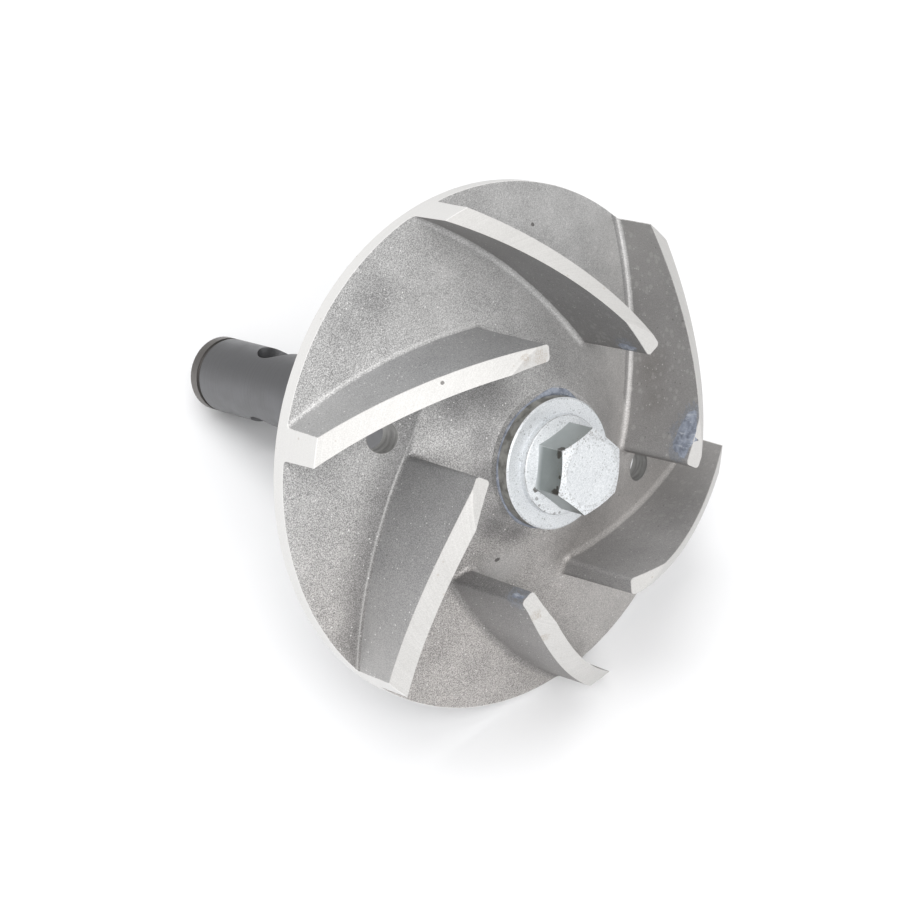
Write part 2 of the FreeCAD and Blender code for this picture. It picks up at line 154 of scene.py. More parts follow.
def highest(tree, mask, *others):
    for other in others:
        mask = maths(tree, "MAXIMUM", mask, other)
    return mask


def distance(tree, place, point):
    node = put(tree, "ShaderNodeVectorMath", operation="DISTANCE")
    feed(tree, place, node.inputs[0])
    feed(tree, point, node.inputs[1])
    return node.outputs["Value"]


def flattened(tree, place):
    """A place on the wheel with its height left out."""
    node = put(tree, "ShaderNodeVectorMath", operation="MULTIPLY")
    feed(tree, place, node.inputs[0])
    feed(tree, (1, 1, 0), node.inputs[1])
    return node.outputs[0]


def dot(tree, first, second):
    node = put(tree, "ShaderNodeVectorMath", operation="DOT_PRODUCT")
    feed(tree, first, node.inputs[0])
    feed(tree, second, node.inputs[1])
    return node.outputs["Value"]


def fade(tree, value, low, high, give_low=0.0, give_high=1.0):
    """A smooth step from one value to another while the input goes from low to high."""
    node = put(tree, "ShaderNodeMapRange", interpolation_type="SMOOTHSTEP")
    for source, socket in zip((value, low, high, give_low, give_high), node.inputs):
        feed(tree, source, socket)
    return node.outputs[0]


def blend(tree, amount, first, second, way="MIX"):
    node = put(tree, "ShaderNodeMix", data_type="RGBA", blend_type=way)
    colours = [socket for socket in node.inputs if socket.type == "RGBA"]
    feed(tree, amount, node.inputs[0])
    feed(tree, first, colours[0])
    feed(tree, second, colours[1])
    return next(socket for socket in node.outputs if socket.type == "RGBA")


def lay(tree, colour, base, *masks):
    """Lays a colour over a base where all the masks are 1; plain numbers among them thin it."""
    return blend(tree, times(tree, *masks), base, colour)


def grain(tree, place, size, detail=3.0, rough=0.6, stretch=None):
    """Noise from 0 to 1 whose lumps are about size across, in the units of place."""
    if stretch:
        node = put(tree, "ShaderNodeMapping", vector_type="POINT")
        feed(tree, place, node.inputs["Vector"])
        node.inputs["Scale"].default_value = stretch
        place = node.outputs[0]
    node = put(tree, "ShaderNodeTexNoise")
    feed(tree, place, node.inputs["Vector"])
    feed(tree, maths(tree, "DIVIDE", 1.0, size), node.inputs["Scale"])
    node.inputs["Detail"].default_value = detail
    node.inputs["Roughness"].default_value = rough
    return node.outputs[0]


def near(tree, value, target, reach):
    """1 where value is within reach of target, falling to 0 just outside."""
    off_target = maths(tree, "ABSOLUTE", maths(tree, "SUBTRACT", value, target))
    return fade(tree, off_target, reach, reach * 1.3, 1.0, 0.0)


def new_group(name, takes, gives):
    """An empty node group with named sockets; returns its tree, what it takes and what it gives."""
    tree = bpy.data.node_groups.new(name, "ShaderNodeTree")
    for title, kind, value in takes:
        socket = tree.interface.new_socket(title, in_out="INPUT", socket_type=f"NodeSocket{kind}")
        if value is not None:
            socket.default_value = value
    for title, kind in gives:
        tree.interface.new_socket(title, in_out="OUTPUT", socket_type=f"NodeSocket{kind}")
    return tree, put(tree, "NodeGroupInput").outputs, put(tree, "NodeGroupOutput").inputs


def use(tree, group, **values):
    """Places a group and feeds its inputs, named with _ for a space."""
    node = put(tree, "ShaderNodeGroup", node_tree=group)
    for name, source in values.items():
        feed(tree, source, node.inputs[name.replace("_", " ")])
    return node.outputs


# %% [markdown]
# ## Where am I on the wheel?
#
# Most marks on a turned or cast wheel follow its axis. This group turns a point of the surface into
# millimetres along the wheel's own directions, and gives its distance from the axis and its height above
# the rim. It also says how squarely the surface faces along the axis: 1 on the hub face, 0 on the side of a
# vane.

# %% Group: place on the wheel
wheel_place, _, gives = new_group(
    "Place on the wheel", [],
    [("Place", "Vector"), ("Radius", "Float"), ("Height", "Float"), ("Facing", "Float")])
seen = put(wheel_place, "ShaderNodeTexCoord").outputs["Object"]
offset = put(wheel_place, "ShaderNodeVectorMath", operation="SUBTRACT")
feed(wheel_place, seen, offset.inputs[0])
feed(wheel_place, RIM_FRONT, offset.inputs[1])
ways = [dot(wheel_place, offset.outputs[0], way / MM) for way in (ACROSS, UP_DISC, AXIS)]
joined = put(wheel_place, "ShaderNodeCombineXYZ")
for way, socket in zip(ways, joined.inputs):
    feed(wheel_place, way, socket)
feed(wheel_place, joined.outputs[0], gives["Place"])
squares = [times(wheel_place, way, way) for way in ways[:2]]
feed(wheel_place, maths(wheel_place, "SQRT", maths(wheel_place, "ADD", *squares)), gives["Radius"])
feed(wheel_place, ways[2], gives["Height"])
true_normal = put(wheel_place, "ShaderNodeNewGeometry").outputs["Normal"]
feed(wheel_place, dot(wheel_place, true_normal, AXIS), gives["Facing"])
print("group", wheel_place.name)

# %% [markdown]
# ## Skin of a blasted casting
#
# The casting was blasted with grit, which leaves a fine, even grain of light and dark points and a slight
# waviness from the mould. One noise makes the grain and two make the clouds. The grain also raises the
# surface.

# %% Group: blasted skin
blasted_skin, takes, gives = new_group(
    "Blasted skin",
    [("Place", "Vector", None), ("Grain size", "Float", 0.35),
     ("Grain", "Float", 0.5), ("Clouds", "Float", 0.3)],
    [("Tone", "Float"), ("Relief", "Float")])
points = grain(blasted_skin, takes["Place"], takes["Grain size"], detail=1.5, rough=0.8)
fine = fade(blasted_skin, points, 0.34, 0.7)
cloud = grain(blasted_skin, takes["Place"], 9.0, detail=4.0, rough=0.62)
wave = grain(blasted_skin, takes["Place"], 2.5, detail=2.0)
fine_part = times(blasted_skin, maths(blasted_skin, "SUBTRACT", fine, 0.45), takes["Grain"])
cloud_part = times(blasted_skin, maths(blasted_skin, "SUBTRACT", cloud, 0.5), takes["Clouds"])
tone = maths(blasted_skin, "ADD", 0.5, maths(blasted_skin, "ADD", fine_part, cloud_part), clamp=True)
feed(blasted_skin, tone, gives["Tone"])
relief = maths(blasted_skin, "ADD", fine, times(blasted_skin, wave, 0.6))
feed(blasted_skin, relief, gives["Relief"])
print("group", blasted_skin.name)

# %% [markdown]
# ## Marks of the turning tool
#
# A lathe leaves rings about the axis. Noise that is squeezed hard along the radius and the height, and hardly
# changes round the wheel, gives rings of uneven depth.

# %% Group: turning marks
turning_marks, takes, gives = new_group(
    "Turning marks",
    [("Radius", "Float", 0.0), ("Height", "Float", 0.0), ("Pitch", "Float", 0.25)],
    [("Tone", "Float"), ("Relief", "Float")])
profile = put(turning_marks, "ShaderNodeCombineXYZ")
feed(turning_marks, takes["Radius"], profile.inputs[0])
feed(turning_marks, takes["Height"], profile.inputs[1])
rings = grain(turning_marks, profile.outputs[0], takes["Pitch"], detail=2.0, rough=0.7)
feed(turning_marks, rings, gives["Tone"])
feed(turning_marks, rings, gives["Relief"])
print("group", turning_marks.name)

# %% [markdown]
# ## Specks
#
# Pits, rust points and dust are all small, sparse and round. A Voronoi cell texture gives one point per
# cell; a random number per cell decides whether the speck is there at all.

# %% Group: specks
specks, takes, gives = new_group(
    "Specks",
    [("Place", "Vector", None), ("Spacing", "Float", 2.0), ("Size", "Float", 0.2), ("Share", "Float", 0.3)],
    [("Mask", "Float")])
cells = put(specks, "ShaderNodeTexVoronoi")
feed(specks, takes["Place"], cells.inputs["Vector"])
feed(specks, maths(specks, "DIVIDE", 1.0, takes["Spacing"]), cells.inputs["Scale"])
split = put(specks, "ShaderNodeSeparateColor")
feed(specks, cells.outputs["Color"], split.inputs[0])
kept = maths(specks, "LESS_THAN", split.outputs[0], takes["Share"])
reach = maths(specks, "DIVIDE", takes["Size"], takes["Spacing"])
reach = times(specks, reach, maths(specks, "ADD", 0.5, split.outputs[1]))
dots = fade(specks, cells.outputs["Distance"], times(specks, reach, 0.5), reach, 1.0, 0.0)
feed(specks, times(specks, dots, kept), gives["Mask"])
print("group", specks.name)

# %% [markdown]
# ## A mark at one place
#
# Stains, pits and dirt that the photograph shows at one spot are ragged patches round a given point. Noise is
# added to the distance from that point before it is cut off.

# %% Group: a mark at one place
one_mark, takes, gives = new_group(
    "One mark",
    [("Place", "Vector", None), ("Middle", "Vector", None), ("Reach", "Float", 1.0),
     ("Ragged", "Float", 0.5)],
    [("Mask", "Float")])
apart = distance(one_mark, takes["Place"], takes["Middle"])
lumps = maths(one_mark, "SUBTRACT", grain(one_mark, takes["Place"], 0.9, detail=4.0, rough=0.7), 0.5)
torn = times(one_mark, lumps, takes["Ragged"], 4.0)
share = maths(one_mark, "ADD", maths(one_mark, "DIVIDE", apart, takes["Reach"]), torn)
feed(one_mark, fade(one_mark, share, 0.75, 1.05, 1.0, 0.0), gives["Mask"])
print("group", one_mark.name)

# %% [markdown]
# ## Foot of the vanes
#
# The light catches the fillet along the convex foot of each vane, which shows as a thin pale line. Each
# foot is an arc, so the line is where the distance from the arc's middle is just over the arc's radius. The
# same circle also crosses the wheel on the other side of its centre, where there is no vane, and runs on
# past the vane's nose into the eye; a side test and a test of the radius leave both out.
#
# Painted shade lies on the disc beside the foot of two vanes, as the shadow that each of them casts, and in
# the fillet on the hollow side of the right vane.
#
# The list starts at the bottom vane and goes round past the right one. Each vane has the strength of its
# line, the line's half width and how far its painted shade reaches, the last two in millimetres.

# %% Lines and painted shade at the feet
FEET = ((0.0, 0.24, 1.8),
        (1.0, 0.3, 0.0),
        (1.0, 0.1, 0.0),
        (1.0, 0.24, 0.0),
        (1.0, 0.24, 0.0),
        (1.0, 0.24, 8.0))
LINE_BEYOND = 0.3
SHADE_STARTS = (-1.5, -0.5)
RIGHT_VANE = 2
HOLLOW_FILLET = -5.8
HOLLOW_REACH = 0.5
HOLLOW_SHADE = 0.7

# %% Group: foot of the vanes
vane_foot, takes, gives = new_group(
    "Foot of the vanes", [("Place", "Vector", None), ("Radius", "Float", 0.0)],
    [("Line", "Float"), ("Foot shade", "Float")])
flat_place = flattened(vane_foot, takes["Place"])
line = foot_shade = 0.0
for vane, (strength, half_width, shade_reach) in enumerate(FEET):
    angle = VANE_PHASE + 360 / VANES * vane
    from_middle = distance(vane_foot, flat_place, disc_point(angle, VANE_ARC_OFFSET))
    beyond = maths(vane_foot, "SUBTRACT", from_middle, VANE_ARC)
    vane_side = maths(vane_foot, "LESS_THAN", dot(vane_foot, flat_place, disc_point(angle + 90)), 0)
    off_line = maths(vane_foot, "ABSOLUTE", maths(vane_foot, "SUBTRACT", beyond, LINE_BEYOND))
    soft_line = fade(vane_foot, off_line, 0.0, half_width, strength, 0.0)
    line = highest(vane_foot, line, times(vane_foot, soft_line, vane_side))
    # Painted shadow on the disc beside the foot of this vane
    if shade_reach:
        beside = fade(vane_foot, beyond, 0.0, shade_reach, 1.0, 0.0)
        outside = fade(vane_foot, beyond, *SHADE_STARTS)
        foot_shade = highest(vane_foot, foot_shade, times(vane_foot, beside, outside, vane_side))
    # Painted shade in the fillet on the hollow side of the right vane
    if vane == RIGHT_VANE:
        in_fillet = near(vane_foot, beyond, HOLLOW_FILLET, HOLLOW_REACH)
        foot_shade = highest(vane_foot, foot_shade, times(vane_foot, in_fillet, vane_side, HOLLOW_SHADE))
outside_eye = fade(vane_foot, takes["Radius"], VANE_NOSES, VANE_NOSES + 1)
feed(vane_foot, times(vane_foot, line, outside_eye), gives["Line"])
feed(vane_foot, times(vane_foot, foot_shade, outside_eye), gives["Foot shade"])
print("group", vane_foot.name)

# %% [markdown]
# ## Rubbed edges
#
# Handling rubs the corners of the shaft and the bolt bright. A Bevel node gives the normal that a rounded
# corner would have, and where that differs from the true normal there is an edge.

# %% Group: rubbed edges
rubbed_edges, takes, gives = new_group(
    "Rubbed edges", [("Place", "Vector", None), ("Width", "Float", 0.0004)], [("Mask", "Float")])
round_off = put(rubbed_edges, "ShaderNodeBevel", samples=4)
feed(rubbed_edges, takes["Width"], round_off.inputs["Radius"])
true_normal = put(rubbed_edges, "ShaderNodeNewGeometry").outputs["Normal"]
turned_by = maths(rubbed_edges, "SUBTRACT", 1.0, dot(rubbed_edges, round_off.outputs[0], true_normal))
broken = grain(rubbed_edges, takes["Place"], 1.2, detail=3.0)
edge = fade(rubbed_edges, turned_by, 0.01, 0.12)
feed(rubbed_edges, times(rubbed_edges, edge, fade(rubbed_edges, broken, 0.3, 0.6)), gives["Mask"])
print("group", rubbed_edges.name)

# %% [markdown]
# ## A material with one shader
#
# Each finish ends in one Principled shader. Colour, roughness and the bump's height come from groups; what
# is the same all over, such as how metallic a finish is, is set on the shader itself.

# %% Helper: new material


def new_finish(name, **steady):
    """A material with one Principled shader; steady values are set on the shader's own sockets."""
    material = bpy.data.materials.new(name)
    material.use_nodes = True
    shader = material.node_tree.nodes["Principled BSDF"]
    for socket, value in steady.items():
        shader.inputs[socket.replace("_", " ")].default_value = value
    return material, material.node_tree, shader.inputs


def raise_surface(tree, relief, depth, socket, strength=1.0):
    """Feeds a Normal socket from a relief of 0 to 1 that stands depth millimetres high."""
    node = put(tree, "ShaderNodeBump")
    node.inputs["Strength"].default_value = strength
    node.inputs["Distance"].default_value = depth * MM
    feed(tree, relief, node.inputs["Height"])
    feed(tree, node.outputs[0], socket)


# %% [markdown]
# ## The casting: grey skin, bright turned faces
#
# One casting has two finishes. The mould's skin is grey and grainy. The vane tops, the rim and the boss on
# the back were turned on a lathe and the puller holes were drilled, so they are bright and smooth. Two
# materials on one mesh would need the faces picked out one by one. The cut faces follow simple rules of
# radius and height instead, so a mask worked out from the place on the wheel finds them exactly, and a little
# noise frays its edge as the real one is frayed where the tool ran out.
#
# The skin is coarser on the left of the wheel than on the right and a little browner low down. The sides of
# the vanes are bluish with painted shade, more painted shade darkens them near the noses, on their undersides
# and on the right vane, and painted light brightens them towards the rim. Painted shade lies round the hub,
# darker clouds lie on the upper disc and brown ones on the right vane, and some places are paler, partly by
# painted light. Fine bright specks are painted glints. Smears of the sealing compound surround the thicker
# dabs that come further down as pieces of their own.
#
# Places are across the disc, up the disc and above the rim, in millimetres. The last number of a cloud is
# how strong it is in its middle. A pair of colours runs from dark to pale, and a pair of shader values from
# the skin to the cut faces. A shade has four numbers: where it starts, where it ends, and how strong it is at
# the one and at the other.

# %% Marks on the casting
PITS = (((-22.9, 33.8, 22.7), 0.42),
        ((25.1, 41.5, 2.3), 0.5),
        ((-17.0, -15.6, 10.8), 0.6),
        ((-24.9, -20.6, 27.6), 0.4))
STAINS = (((-3.0, 29.5, EYE_FACE), 1.9),
          ((-6.5, 31.0, EYE_FACE), 1.3),
          ((-24.4, -20.0, 28.6), 1.6),
          ((-22.6, -27.6, 26.0), 1.6))
SMEARS = (((28.6, -8.2, 26.4), 4.6),
          ((31.6, -5.2, 27.2), 3.0),
          ((26.6, -10.8, 26.0), 3.4),
          ((22.4, 16.2, 23.8), 3.0),
          ((-25.4, -15.5, 26.6), 3.0))
# Painted shade round the hub, where its slope turns from the light and the left vane shadows the disc
HUB_PAINTED_SHADE = (((-8.0, 19.4, 12.4), 11.0, 0.45),
              ((-14.0, 20.0, 10.5), 8.5, 0.45),
              ((-12.5, 12.5, 14.5), 8.0, 0.45),
              ((-14.3, 5.0, 15.2), 8.5, 0.6),
              ((-14.6, -3.5, 15.6), 8.0, 0.6),
              ((-13.5, -9.5, 15.4), 6.5, 0.55),
              ((-17.0, -6.0, 14.5), 7.0, 0.6))
# Darker clouds on the skin of the upper disc
DISC_CLOUDS = (((-18.1, 47.4, 1.8), 9.0, 0.28),
               ((-27.0, 44.8, 1.3), 8.0, 0.2))
SIDE_CLOUDS = (((36.5, 1.5, 12.5), 7.5, 0.3),
               ((32.3, -3.8, 15.2), 6.0, 0.2))
# Painted light on the disc above the bottom vane's nose, and a faint paler cloud higher up
PALE_AND_PAINTED_LIGHT_PLACES = (((-17.5, -19.0, 10.0), 9.0, 0.6),
                ((-8.0, 38.0, 4.5), 15.0, 0.15))


def soft_clouds(tree, place, clouds):
    """One mask that joins soft round clouds given as (middle, reach, strength)."""
    mask = 0.0
    for middle, reach, strength in clouds:
        mask = highest(tree, mask, fade(tree, distance(tree, place, middle), 0.0, reach, strength, 0.0))
    return mask


def all_marks(tree, place, marks, ragged):
    """One mask that joins ragged marks given as (middle, reach)."""
    mask = 0.0
    for middle, reach in marks:
        mark = use(tree, one_mark, Place=place, Middle=middle, Reach=reach, Ragged=ragged)
        mask = highest(tree, mask, mark["Mask"])
    return mask


# %% Colours of the casting, in linear red, green and blue
SKIN = ((0.165, 0.163, 0.162, 1), (0.70, 0.695, 0.69, 1))
BROWN_TINT = (1.0, 0.965, 0.94, 1)
PALE_SKIN_AND_PAINTED_LIGHT = (0.62, 0.61, 0.6, 1)
GRIME_AND_PAINTED_SHADE = (0.08, 0.08, 0.082, 1)
BROWN_GRIME = (0.09, 0.075, 0.06, 1)
VANE_SIDE_TINT_AND_SHADE = (0.29, 0.295, 0.305, 1)
NOSE_PAINTED_SHADE = (0.06, 0.057, 0.053, 1)
TIP_PAINTED_LIGHT = (0.62, 0.61, 0.595, 1)
UNDERSIDE_PAINTED_SHADE = (0.12, 0.11, 0.103, 1)
RIGHT_SIDE_PAINTED_SHADE = (0.14, 0.125, 0.11, 1)
FOOT_LINE = (0.62, 0.615, 0.6, 1)
SPARK_PAINTED_GLINT = (0.9, 0.89, 0.88, 1)
BLOTCH = (0.75, 0.74, 0.72, 1)
POCK = (0.06, 0.058, 0.055, 1)
THIN_SMEAR = ((0.14, 0.153, 0.182, 1), (0.3, 0.323, 0.365, 1))
TURNED = ((0.43, 0.422, 0.409, 1), (0.68, 0.67, 0.655, 1))
TURNED_RIM = (0.86, 0.855, 0.845, 1)
RUST = (0.3, 0.22, 0.15, 1)
STAIN = (0.3, 0.235, 0.17, 1)
DRILLED = ((0.26, 0.257, 0.25, 1), (0.42, 0.415, 0.405, 1))
PIT = (0.06, 0.054, 0.048, 1)

# %% Where the shades of the casting lie
GRAIN_TO_RIGHT = (-0.5, 0.7, 0.72, 0.34)
BROWN_LOW_DOWN = (-30.0, 30.0, 1.0, 0.0)
STEEP = (0.1, 0.35, 1.0, 0.0)
LOWER_RIGHT = (0.87, -0.5, 0)
PAINTED_LIGHT_LOWER_RIGHT = (12.0, 30.0, 0.0, 0.18)
NOSE_SHADE = (27.0, 46.0, 0.3, 0.0)
BELOW = (0.5, -0.87, 0)
NOSE_NOT_BELOW = (0.0, 15.0, 1.0, 0.0)
TIP_SHADE = (40.0, 57.0, 0.0, 0.22)
UNDERSIDE_SHADE = (-0.7, 0.0, 0.5, 0.0)
FAR_RIGHT = (0.25, 0.6)
RIGHT_SHADE = (-28.0, -12.0, 0.05, 0.33)
LINE_ON_FRONT = (-0.2, 0.0, 0.0, 0.3)
BLOTCHES_TO_RIGHT = (0.1, 0.5, 0.0, 0.12)

# %% Finish: casting, where it was cut
CUT_DEPTH = 0.16
FRAYED_BY = 0.25
FLAT_WITHIN = 0.05
DRILLED_WITHIN = 0.08

casting, tree, shader = new_finish("casting")
place, radius, height, facing = use(tree, wheel_place)
fray = times(tree, maths(tree, "SUBTRACT", grain(tree, place, 0.8), 0.5), FRAYED_BY)

cone = times(tree, maths(tree, "SUBTRACT", RIM_RADIUS, radius), math.tan(TURNED_ANGLE))
cone_level = maths(tree, "MINIMUM", maths(tree, "ADD", cone, OUTLET), EYE_FACE)
on_tops = near(tree, maths(tree, "ADD", height, fray), cone_level, CUT_DEPTH)
on_rim = fade(tree, maths(tree, "ADD", radius, fray), RIM_RADIUS - CUT_DEPTH, RIM_RADIUS - CUT_DEPTH / 2)
on_boss = near(tree, height, BOSS_FACE, FLAT_WITHIN)
turned = highest(tree, on_rim, on_tops, on_boss)

flat_place = flattened(tree, place)
drilled = 0.0
for turn in PULLER_TURNS:
    from_axis = distance(tree, flat_place, disc_point(turn, PULLER_CIRCLE))
    drilled = highest(tree, drilled, near(tree, from_axis, PULLER_HOLE, DRILLED_WITHIN))

# %% Finish: casting, its grey skin
up_disc = dot(tree, place, (0, 1, 0))
to_right = dot(tree, place, (1 / RIM_RADIUS, 0, 0))
coarse = fade(tree, to_right, *GRAIN_TO_RIGHT)
skin = use(tree, blasted_skin, Place=place, Grain_size=0.25, Grain=coarse, Clouds=0.5)
grey = blend(tree, skin["Tone"], *SKIN)
low_down = fade(tree, up_disc, *BROWN_LOW_DOWN)
grey = blend(tree, low_down, grey, blend(tree, 1.0, grey, BROWN_TINT, way="MULTIPLY"))

side = fade(tree, facing, *STEEP)
on_disc = maths(tree, "SUBTRACT", 1.0, side)
# Paler disc: painted light at the lower right and above the bottom vane's nose, and a faint paler cloud
painted_light_lower_right = fade(tree, dot(tree, place, LOWER_RIGHT), *PAINTED_LIGHT_LOWER_RIGHT)
paler_and_painted_light = highest(tree, painted_light_lower_right, soft_clouds(tree, place, PALE_AND_PAINTED_LIGHT_PLACES))
grey = lay(tree, PALE_SKIN_AND_PAINTED_LIGHT, grey, paler_and_painted_light, on_disc)
foot = use(tree, vane_foot, Place=place, Radius=radius)
# Painted shade round the hub and beside the vane feet, and darker clouds on the upper disc
grime_and_painted_shade = highest(tree, soft_clouds(tree, place, HUB_PAINTED_SHADE + DISC_CLOUDS), times(tree, foot["Foot shade"], 0.5))
grey = lay(tree, GRIME_AND_PAINTED_SHADE, grey, grime_and_painted_shade, on_disc)

# Sides of the vanes: a bluish tint, and painted shade where they face away from the lamp
grey = lay(tree, VANE_SIDE_TINT_AND_SHADE, grey, side, 0.5)
# Painted shade on the vane sides near the noses, left out towards the lower right
not_below = fade(tree, dot(tree, place, BELOW), *NOSE_NOT_BELOW)
grey = lay(tree, NOSE_PAINTED_SHADE, grey, side, fade(tree, radius, *NOSE_SHADE), not_below)
# Painted light on the vane sides towards the rim
grey = lay(tree, TIP_PAINTED_LIGHT, grey, side, fade(tree, radius, *TIP_SHADE))
grey = lay(tree, BROWN_GRIME, grey, side, soft_clouds(tree, place, SIDE_CLOUDS))
# Painted shade on the undersides of the vanes, the faces that look down the disc
looks_up = dot(tree, put(tree, "ShaderNodeNewGeometry").outputs["Normal"], UP_DISC)
grey = lay(tree, UNDERSIDE_PAINTED_SHADE, grey, side, fade(tree, looks_up, *UNDERSIDE_SHADE))
# Painted shade, warm, on the side of the right vane
on_right_vane = fade(tree, up_disc, *RIGHT_SHADE)
grey = lay(tree, RIGHT_SIDE_PAINTED_SHADE, grey, side, fade(tree, to_right, *FAR_RIGHT), on_right_vane)
grey = lay(tree, FOOT_LINE, grey, foot["Line"], fade(tree, facing, *LINE_ON_FRONT))

# %% Finish: casting, specks and smears on its skin
# Painted glints: fine bright specks on the coarser skin
painted_glints = use(tree, specks, Place=place, Spacing=0.8, Size=0.15, Share=0.25)
grey = lay(tree, SPARK_PAINTED_GLINT, grey, painted_glints["Mask"], coarse)
blotches = use(tree, specks, Place=place, Spacing=1.3, Size=0.6, Share=0.4)
grey = lay(tree, BLOTCH, grey, blotches["Mask"], fade(tree, to_right, *BLOTCHES_TO_RIGHT))
pocks = use(tree, specks, Place=place, Spacing=1.4, Size=0.2, Share=0.22)
grey = lay(tree, POCK, grey, pocks["Mask"], 0.4)
smear_tone = grain(tree, place, 0.7, detail=4.0, rough=0.7)
smear_blue = blend(tree, fade(tree, smear_tone, 0.35, 0.65), *THIN_SMEAR)
smeared = all_marks(tree, place, SMEARS, 0.45)
grey = lay(tree, smear_blue, grey, smeared, fade(tree, smear_tone, 0.3, 0.55), 0.65)

# %% Finish: casting, its bright faces and the shader
METALLIC = (0.5, 0.15)
ROUGHNESS = (0.58, 0.55)
CASTING_RELIEF = 0.05

rings = use(tree, turning_marks, Radius=radius, Height=height, Pitch=0.3)
turned_tone = maths(tree, "ADD", times(tree, rings["Tone"], 0.5), times(tree, skin["Tone"], 0.5))
bright = blend(tree, turned_tone, *TURNED)
bright = lay(tree, TURNED_RIM, bright, on_rim, 0.5)
rust = use(tree, specks, Place=place, Spacing=1.6, Size=0.25, Share=0.12)
bright = lay(tree, RUST, bright, rust["Mask"], 0.3)
stained = all_marks(tree, place, STAINS, 0.5)
bright = lay(tree, STAIN, bright, stained, fade(tree, skin["Tone"], 0.4, 0.65), 0.5)

surface = blend(tree, turned, grey, bright)
scores = fade(tree, grain(tree, place, 0.9, stretch=(0.15, 0.15, 1.0)), 0.3, 0.7)
surface = blend(tree, drilled, surface, blend(tree, scores, *DRILLED))
pitted = all_marks(tree, place, PITS, 0.4)
surface = lay(tree, PIT, surface, pitted, 0.75)
feed(tree, surface, shader["Base Color"])
feed(tree, fade(tree, turned, 0.0, 1.0, *METALLIC), shader["Metallic"])
feed(tree, fade(tree, turned, 0.0, 1.0, *ROUGHNESS), shader["Roughness"])
skin_relief = times(tree, skin["Relief"], maths(tree, "SUBTRACT", 1.0, turned))
ring_relief = times(tree, rings["Relief"], turned, 0.1)
relief = maths(tree, "SUBTRACT", maths(tree, "ADD", skin_relief, ring_relief), pitted)
raise_surface(tree, relief, CASTING_RELIEF, shader["Normal"], 0.5)
print("finish", casting.name, len(tree.nodes), "nodes")

# %% [markdown]
# ## The shaft: blackened steel
#
# The shaft was turned and then blackened, which leaves a satin dark grey. The short collar behind the ring
# groove is a little browner, and its edges are rubbed lighter.

# %% Finish: blackened shaft
BLACKENED = ((0.15, 0.152, 0.16, 1), (0.215, 0.218, 0.228, 1))
SHAFT_CLOUD = (0.19, 0.185, 0.178, 1)
COLLAR = (0.19, 0.172, 0.155, 1)
RUBBED_STEEL = (0.3, 0.29, 0.28, 1)

blackened, tree, shader = new_finish("blackened_steel", Metallic=0.8)
place, radius, height, _ = use(tree, wheel_place)
rings = use(tree, turning_marks, Radius=radius, Height=height, Pitch=0.5)
cloud = grain(tree, place, 5.0, detail=4.0)
dark = blend(tree, rings["Tone"], *BLACKENED)
dark = lay(tree, SHAFT_CLOUD, dark, cloud, 0.4)
on_collar = fade(tree, height, RING_GROOVE - 0.6, RING_GROOVE - 0.2, 1.0, 0.0)
dark = lay(tree, COLLAR, dark, on_collar, 0.6)
edges = use(tree, rubbed_edges, Place=place, Width=0.0004)
dark = lay(tree, RUBBED_STEEL, dark, edges["Mask"], 0.35)
feed(tree, dark, shader["Base Color"])
feed(tree, fade(tree, cloud, 0.3, 0.7, 0.36, 0.48), shader["Roughness"])
raise_surface(tree, rings["Relief"], 0.01, shader["Normal"], 0.5)
print("finish", blackened.name)

# %% [markdown]
# ## Washer and bolt: zinc plate
#
# Dull zinc is pale and slightly blue, with a mottle of fine dark points on every face that looks out of the
# eye. The flats of the hexagon are smoother and greener, and painted darker as shade; the left one has
# painted light towards the flange and the upper one a painted sheen all over. The edge of the washer is olive
# with the compound that wetted it. Dirt lies at the foot of two corners of the hexagon and under the left of
# its crown, dots of it surround the crown, and a fine broken line marks the flange's edge. Each is found from
# the place on the wheel.

# %% Dirt and colours of the zinc plate
DIRT = (((-9.1, -0.5, 21.3), 0.75),
        ((-9.0, 0.2, 27.7), 1.0),
        ((-8.8, 1.2, 28.3), 0.5),
        ((-4.2, 7.9, 27.7), 0.9),
        ((-5.2, 7.2, 27.9), 0.9),
        ((-7.4, 3.2, 28.6), 0.4))
DIRT_STREAKS = (((-9.4, -2.6, 21.1), 0.35),
                ((-9.2, -4.4, 20.9), 0.3),
                ((-8.3, -6.4, 20.8), 0.3),
                ((-6.2, -8.3, 20.9), 0.4),
                ((-5.0, -8.8, 20.9), 0.35))
ZINC = ((0.52, 0.545, 0.565, 1), (0.85, 0.865, 0.88, 1))
ZINC_DOT = (0.24, 0.245, 0.24, 1)
HEAD_FLAT_TINT_AND_SHADE = ((0.19, 0.213, 0.21, 1), (0.29, 0.315, 0.31, 1))
LEFT_FLAT_PAINTED_LIGHT = (0.75, 0.78, 0.79, 1)
UPPER_FLAT_PAINTED_SHEEN = (0.6, 0.63, 0.63, 1)
PAINTED_LIGHT_FOOT = (WASHER_FACE + 1.8, WASHER_FACE + 4.0, 0.8, 0.0)
WETTED_EDGE = ((0.2, 0.196, 0.18, 1), (0.42, 0.415, 0.39, 1))
CROWN_DIRT = (0.22, 0.205, 0.185, 1)
LINE_DIRT = (0.14, 0.135, 0.12, 1)
THICK_DIRT = (0.05, 0.042, 0.034, 1)
RUBBED_ZINC = (0.9, 0.92, 0.93, 1)

